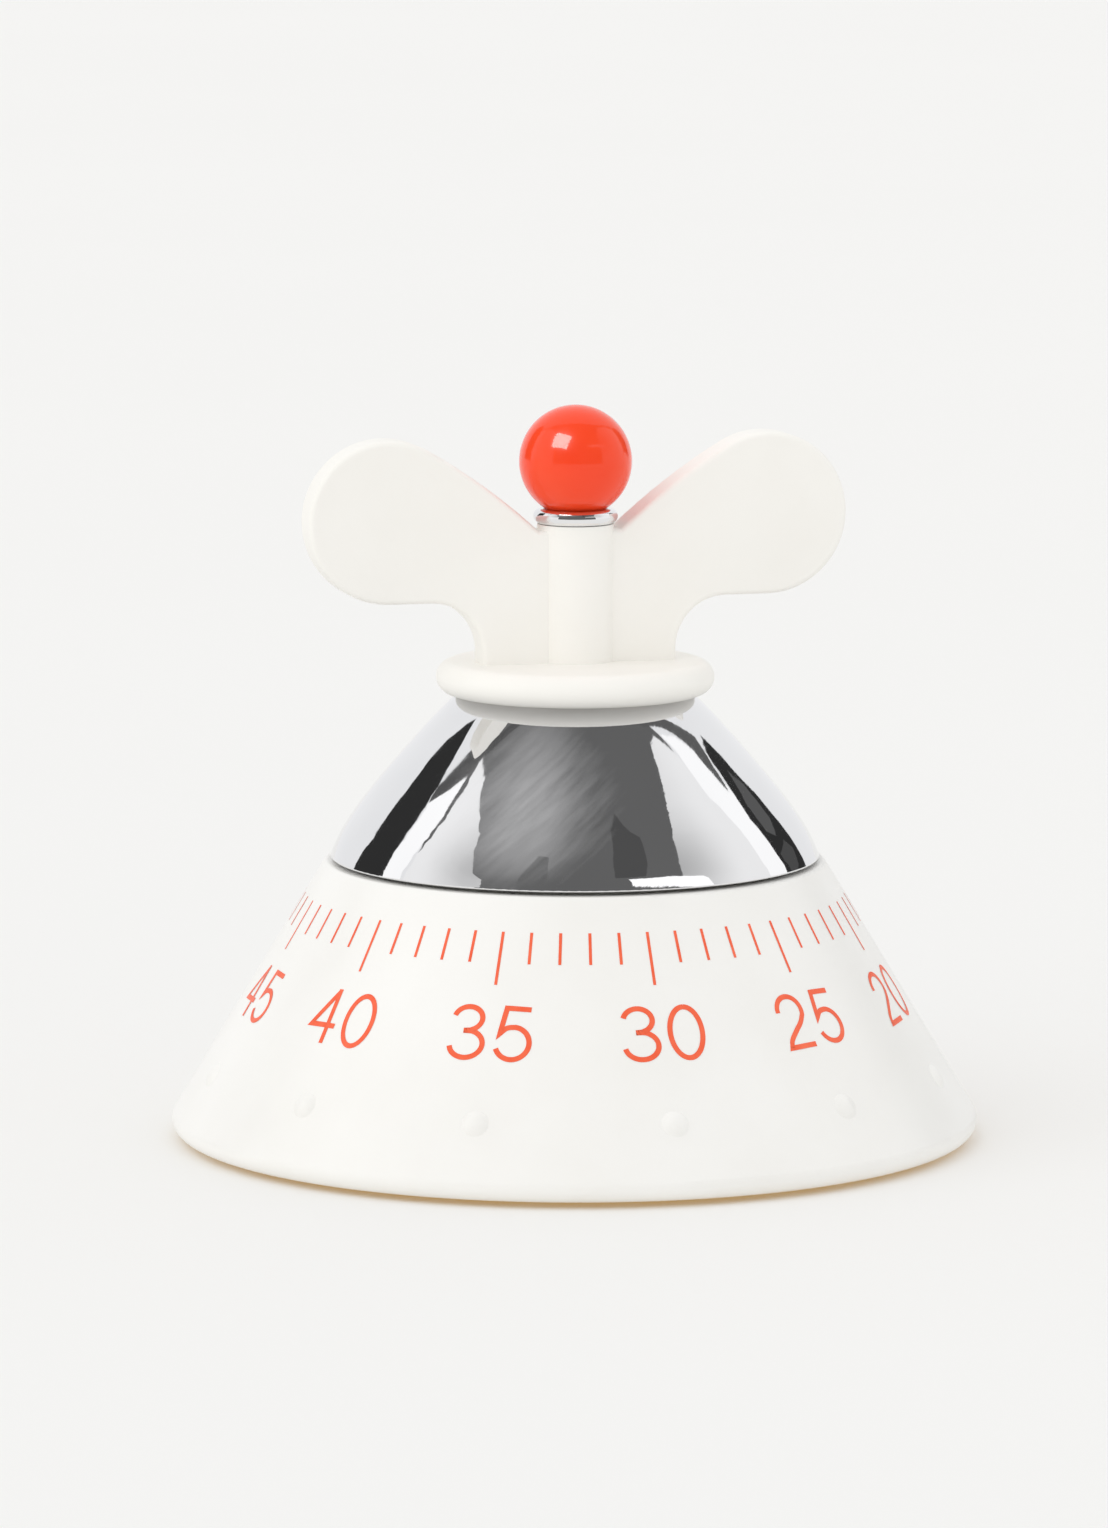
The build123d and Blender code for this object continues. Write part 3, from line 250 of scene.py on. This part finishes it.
scale_radius = 36.60 * mm  # cone radius at the upper ends of the minute lines
scale_height = 33.63 * mm  # height of that ring
cone_half_angle = atan2(0.60, 1)  # the cone widens by 0.60 mm for each mm down
scale_slant = scale_radius / sin(cone_half_angle)  # from the cone's point to that ring
ink_lift = 0.025 * mm
line_width = 0.40 * mm
short_line = 4.49 * mm
long_line = 7.54 * mm
numeral_drop = 2.85 * mm  # from a long line's end to the numeral
numeral_shift = 0.25 * mm  # the numerals sit a little past their lines
digit_height = 7.85 * mm
digit_width = 5.15 * mm
digit_gap = 1.12 * mm
arc_step = 0.25  # mm between the points of an arc
longest_run = 0.5  # mm of straight ribbon that still follows the cone
shortest_run = 0.02  # mm between points that count as one
sharpest_mitre = 0.35
stroke_width = 0.72 * mm


def on_cone(minute, across, up):
    """A flat point beside a minute line, across and up from the scale's ring, wrapped onto the cone."""
    slant = hypot(across, scale_slant - up)
    turn = atan2(across, scale_slant - up) / sin(cone_half_angle)
    bearing = radians(6 * minute) - turn
    radius = slant * sin(cone_half_angle) + ink_lift * cos(cone_half_angle)
    height = scale_height + (scale_slant - slant) * cos(cone_half_angle)
    height += ink_lift * sin(cone_half_angle)
    return Vector((radius * sin(bearing), radius * cos(bearing), height))


def arc(cx, cy, rx, ry, start, end):
    """Part of an ellipse as closely spaced points; angles in degrees."""
    steps = ceil(abs(radians(end - start)) * max(rx, ry) / arc_step)
    angles = [radians(start + (end - start) * step / steps) for step in range(steps + 1)]
    return [(cx + rx * cos(angle), cy + ry * sin(angle)) for angle in angles]


def curve_through(points, steps=7):
    """A smooth line through the points."""
    ends = [points[0], *points, points[-1]]
    line = []
    for before, start, end, after in zip(ends, ends[1:], ends[2:], ends[3:]):
        for step in range(steps):
            t = step / steps
            weights = (
                -t + 2 * t**2 - t**3,
                2 - 5 * t**2 + 3 * t**3,
                t + 4 * t**2 - 3 * t**3,
                -(t**2) + t**3,
            )
            near = (before, start, end, after)
            line.append(tuple(sum(w * p[axis] for w, p in zip(weights, near)) / 2 for axis in (0, 1)))
    return [*line, points[-1]]


# Centre lines of the digits, in mm from the lower left corner of the digit's cell.
digit_strokes = {
    "0": [arc(2.575, 3.925, 2.235, 3.585, 90, 450)],
    "1": [[(1.1, 5.9), (2.1, 6.5), (2.9, 7.7), (2.9, 0)]],
    "2": [
        arc(2.52, 5.43, 2.06, 2.08, 180, -20)
        + curve_through([(4.46, 4.72), (3.6, 3.62), (2.2, 2.48), (1.0, 1.38), (0.5, 0.34)])
        + [(4.85, 0.34)]
    ],
    "3": [
        arc(2.45, 5.85, 1.95, 1.66, 165, -70) + [(2.9, 4.2), (2.0, 4.15)],
        [(2.0, 4.15), (2.9, 4.12)] + arc(2.55, 2.25, 2.26, 1.91, 75, -172),
    ],
    "4": [[(3.6, 7.51), (0.34, 2.6), (4.95, 2.6)], [(3.6, 7.85), (3.6, 0)]],
    "5": [
        [(4.5, 7.51), (1.25, 7.51), (0.75, 3.9)]
        + curve_through([(0.75, 3.9), (1.6, 4.7), (2.7, 4.9)])
        + arc(2.55, 2.62, 2.26, 2.28, 78, -158)
    ],
    "6": [
        arc(2.575, 2.5, 2.235, 2.16, 90, 450),
        curve_through([(0.34, 2.5), (0.42, 4.2), (1.0, 6.1), (2.2, 7.35), (3.6, 7.4), (4.5, 6.4)]),
    ],
}


def fine_line(line):
    """The line without repeated points, its straight runs cut short enough to follow the cone."""
    kept = [line[0]]
    for point in line[1:]:
        start = kept[-1]
        run = hypot(point[0] - start[0], point[1] - start[1])
        if run < shortest_run:
            continue
        steps = ceil(run / longest_run)
        for step in range(1, steps + 1):
            share = step / steps
            kept.append(tuple(start[axis] + (point[axis] - start[axis]) * share for axis in (0, 1)))
    return kept


def ribbon(line, width):
    """Pairs of edge points either side of a centre line, mitred at its corners."""
    line = [Vector(point) for point in line]
    pairs = []
    for index, point in enumerate(line):
        before = (point - line[index - 1]).normalized() if index else None
        after = (line[index + 1] - point).normalized() if index + 1 < len(line) else None
        before = before or after
        after = after or before
        along = (before + after).normalized()
        side = Vector((-along.y, along.x))
        reach = width / 2 / max(side.dot(Vector((-before.y, before.x))), sharpest_mitre)
        pairs.append((point + side * reach, point - side * reach))
    return pairs


def print_strip(vertices, faces, minute, pairs):
    """Adds one ribbon of ink beside a minute line."""
    first = len(vertices)
    for left, right in pairs:
        vertices.append(on_cone(minute, left.x, left.y))
        vertices.append(on_cone(minute, right.x, right.y))
    for step in range(len(pairs) - 1):
        corner = first + 2 * step
        faces.append((corner, corner + 1, corner + 3, corner + 2))


def minute_scale():
    """Sixty minute lines with a numeral at every fifth, in ink on the cone."""
    vertices, faces = [], []
    for minute in range(60):
        length = long_line if minute % 5 == 0 else short_line
        print_strip(vertices, faces, minute, ribbon([(0, 0), (0, -length)], line_width))
    foot = -(long_line + numeral_drop + digit_height)
    for minute in range(5, 61, 5):
        digits = str(minute)
        total = len(digits) * digit_width + (len(digits) - 1) * digit_gap
        for place, digit in enumerate(digits):
            start = place * (digit_width + digit_gap) - total / 2 + numeral_shift
            for stroke in digit_strokes[digit]:
                line = [(start + x * mm, foot + y * mm) for x, y in fine_line(stroke)]
                print_strip(vertices, faces, minute, ribbon(line, stroke_width))
    mesh = bpy.data.meshes.new("scale_print")
    mesh.from_pydata(vertices, [], faces)
    mesh.materials.append(ink)
    piece = bpy.data.objects.new("scale_print", mesh)
    bpy.context.scene.collection.objects.link(piece)
    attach(piece, "base")


minute_scale()

# ---------------------------------------------------------------- camera

camera_azimuth = -15.128
camera_distance = 1.1043
camera_height = 0.20756
camera_turn = (81.9296, 0.089, -14.980)  # tilt, roll and heading in degrees
camera_lens = 193.4  # mm, on a sensor of the width below
camera_sensor = 36


def add_camera():
    """The camera that the scene is seen through at rest."""
    camera = bpy.data.objects.new("camera", bpy.data.cameras.new("camera"))
    bpy.context.scene.collection.objects.link(camera)
    bearing = radians(camera_azimuth)
    place = Vector((camera_distance * sin(bearing), -camera_distance * cos(bearing), camera_height))
    tilt, roll, heading = [radians(angle) for angle in camera_turn]
    turn = Matrix.Rotation(heading, 4, "Z") @ Matrix.Rotation(tilt, 4, "X") @ Matrix.Rotation(roll, 4, "Z")
    camera.matrix_world = Matrix.Translation(place) @ turn
    camera.data.lens = camera_lens
    camera.data.sensor_width = camera_sensor
    bpy.context.scene.camera = camera


add_camera()

# ---------------------------------------------------------------- studio

middle = Vector((0, 0, 0.05))
card_edge_steps = 6
sky_colour = (0.985, 0.99, 1.0, 1)
sky_strength = 0.93
floor_reach = 14
floor_glow = (0.200, 0.110, 0.035, 1)
window_distance = 1.1
window_width = 0.62
window_height = 0.55
window_power = 17.0


def toward(bearing, elevation, distance):
    """A place in the studio: bearing in degrees clockwise past the camera as seen from the object."""
    around = radians(camera_azimuth + bearing)
    level = distance * cos(radians(elevation))
    return middle + Vector((level * sin(around), -level * cos(around), distance * sin(radians(elevation))))


def glow(name, shade, spot_shade, spot_place, spot_reach):
    """An emitter of the given brightness, drifting to another one round a spot."""
    material = bpy.data.materials.new(name)
    material.use_nodes = True
    tree = material.node_tree
    tree.nodes.clear()
    emitter = tree.nodes.new("ShaderNodeEmission")
    output = tree.nodes.new("ShaderNodeOutputMaterial")
    strength = fade(tree, spot_place, spot_reach, spot_shade, shade)
    tree.links.new(strength, emitter.inputs["Strength"])
    tree.links.new(emitter.outputs["Emission"], output.inputs["Surface"])
    material.cycles.emission_sampling = "NONE"
    return material


def card(name, outline, distance, shade, spot_shade=None, spot=(0, 90), spot_reach=1):
    """A studio card that shows only in polished surfaces; outline and spot are bearings and elevations."""
    heart = [sum(point[axis] for point in outline) / len(outline) for axis in (0, 1)]
    vertices = [toward(*heart, distance)]
    for start, end in zip(outline, outline[1:] + outline[:1]):
        for step in range(card_edge_steps):
            share = step / card_edge_steps
            bearing = start[0] + (end[0] - start[0]) * share
            elevation = start[1] + (end[1] - start[1]) * share
            vertices.append(toward(bearing, elevation, distance))
    count = len(vertices) - 1
    faces = [(0, 1 + index, 1 + (index + 1) % count) for index in range(count)]
    mesh = bpy.data.meshes.new(name)
    mesh.from_pydata(vertices, [], faces)
    spot_shade = shade if spot_shade is None else spot_shade
    mesh.materials.append(glow(name, shade, spot_shade, toward(*spot, distance), spot_reach))
    piece = bpy.data.objects.new(name, mesh)
    bpy.context.scene.collection.objects.link(piece)
    piece.visible_camera = False
    piece.visible_diffuse = False
    piece.visible_shadow = False


def studio_cards():
    """What the chrome mirrors: a dim ceiling between two bright screens, with black flags outside."""
    ceiling = [(-104, 62), (-106, 48), (-90, 28), (-52, -3), (52, -3), (90, 28), (108, 48), (103, 64)]
    card("dim_ceiling", [*ceiling, (80, 86), (0, 88), (-80, 86)], 7.0, 0.135, 0.38, (-46, 58), 3.9)
    card("dark_door", [(22, 40), (24, 50), (31, 63), (39, 66), (50, 57), (44, 46), (39, 39)], 3.1, 0.085)
    card("dark_stand", [(-31, 20), (-30, 42), (-24, 53), (-17, 53), (-15, 42), (-14, 20)], 3.1, 0.14)
    left = [(-47, 0), (-49, 33), (-57, 37), (-62, 44), (-70, 52), (-80, 55), (-92, 55), (-101, 52)]
    card("left_screen", [*left, (-97, 42), (-93, 30), (-91, 18), (-93, 0)], 2.8, 0.98, 0.55, (-54, 40), 1.5)
    left_edge = [(-103, 49), (-99, 42), (-95, 30), (-93, 18), (-96, 0), (-110, 0), (-106, 20), (-109, 32)]
    card("left_edge_light", [*left_edge, (-115, 41)], 2.7, 1.15)
    right = [(57, 0), (58, 33), (62, 42), (70, 51), (82, 56), (95, 57), (102, 55), (116, 38), (110, 24)]
    card("right_screen", [*right, (109, 0)], 2.8, 0.98, 0.50, (58, 40), 1.7)
    right_edge = [(107, 0), (108, 22), (112, 36), (111, 45), (107, 52), (115, 46), (126, 33), (122, 22)]
    card("right_edge_light", [*right_edge, (121, 0)], 2.7, 1.15)
    card("low_window", [(29, 38), (52, 36), (69, 31), (73, 26), (50, 31), (30, 34)], 2.6, 1.25)
    left_flag = [(-104, 0), (-106, 20), (-110, 32), (-116, 40), (-126, 41), (-129, 37), (-134, 29)]
    card("left_flag", [*left_flag, (-129, 20), (-128, 0)], 2.5, 0.032)
    left_cord = [(-116, 40), (-102, 52), (-95, 62), (-92, 68), (-90, 67), (-97, 55), (-114, 39)]
    card("left_cord", left_cord, 2.5, 0.10)
    right_flag = [(120, 0), (121, 20), (123, 30), (128, 34), (134, 31), (140, 22), (140, 12), (139, 0)]
    card("right_flag", right_flag, 2.5, 0.032)
    right_cord = [(124, 34), (117, 45), (110, 53), (101, 58), (97, 62), (107, 59), (117, 50), (129, 35)]
    card("right_cord", right_cord, 2.5, 0.12)
    card("lamp_back", [(126, 24), (128, 29), (133, 29), (137, 25), (136, 21), (130, 20)], 2.4, 0.11)
    card("lamp_foot", [(123, 15), (124, 18), (133, 17), (136, 13), (133, 9), (125, 10)], 2.4, 0.08)


studio_cards()


def soft_sun(name, bearing, elevation, strength, spread, tint):
    """Even light from one side, soft enough to leave no hard shadow."""
    lamp = bpy.data.lights.new(name, "SUN")
    lamp.energy = strength
    lamp.angle = radians(spread)
    lamp.color = tint
    holder = bpy.data.objects.new(name, lamp)
    bpy.context.scene.collection.objects.link(holder)
    holder.rotation_mode = "QUATERNION"
    holder.rotation_quaternion = (toward(bearing, elevation, 1) - middle).to_track_quat("Z", "Y")
    holder.visible_glossy = False


def ball_window():
    """The window that only the glossy ball mirrors."""
    lamp = bpy.data.lights.new("ball_window", "AREA")
    lamp.shape = "RECTANGLE"
    lamp.size = window_width
    lamp.size_y = window_height
    lamp.energy = window_power
    holder = bpy.data.objects.new("ball_window", lamp)
    bpy.context.scene.collection.objects.link(holder)
    holder.location = toward(-39, 46, window_distance)
    holder.rotation_mode = "QUATERNION"
    holder.rotation_quaternion = (holder.location - middle).to_track_quat("Z", "Y")
    holder.visible_diffuse = False
    receivers = bpy.data.collections.new("ball_only")
    receivers.objects.link(nodes["ball_knob"])
    holder.light_linking.receiver_collection = receivers


def studio_lights():
    """Even light all round with a broad soft key from the upper left."""
    world = bpy.data.worlds.new("studio")
    bpy.context.scene.world = world
    world.use_nodes = True
    sky = world.node_tree.nodes["Background"]
    sky.inputs["Color"].default_value = sky_colour
    sky.inputs["Strength"].default_value = sky_strength
    soft_sun("key", -55, 42, 0.50, 60, (1.0, 0.985, 0.955))
    ball_window()


studio_lights()


def add_floor():
    """A wide pale sweep under the object, with a faint glow that keeps its shadows warm."""
    material, tree, shader = new_finish("pale_floor")
    mottle(tree, shader, noise(tree, 3, 3), (0.693, 0.779, 0.836), (0.699, 0.785, 0.842))
    shader.inputs["Emission Color"].default_value = floor_glow
    shader.inputs["Emission Strength"].default_value = 1.0
    shader.inputs["Roughness"].default_value = 0.9
    shader.inputs["Specular IOR Level"].default_value = 0.1
    mesh = bpy.data.meshes.new("floor")
    reach = floor_reach
    corners = [(-reach, -reach, 0), (reach, -reach, 0), (reach, reach, 0), (-reach, reach, 0)]
    mesh.from_pydata(corners, [], [(0, 1, 2, 3)])
    mesh.materials.append(material)
    floor = bpy.data.objects.new("floor", mesh)
    bpy.context.scene.collection.objects.link(floor)


add_floor()
bpy.context.scene.view_settings.view_transform = "Standard"
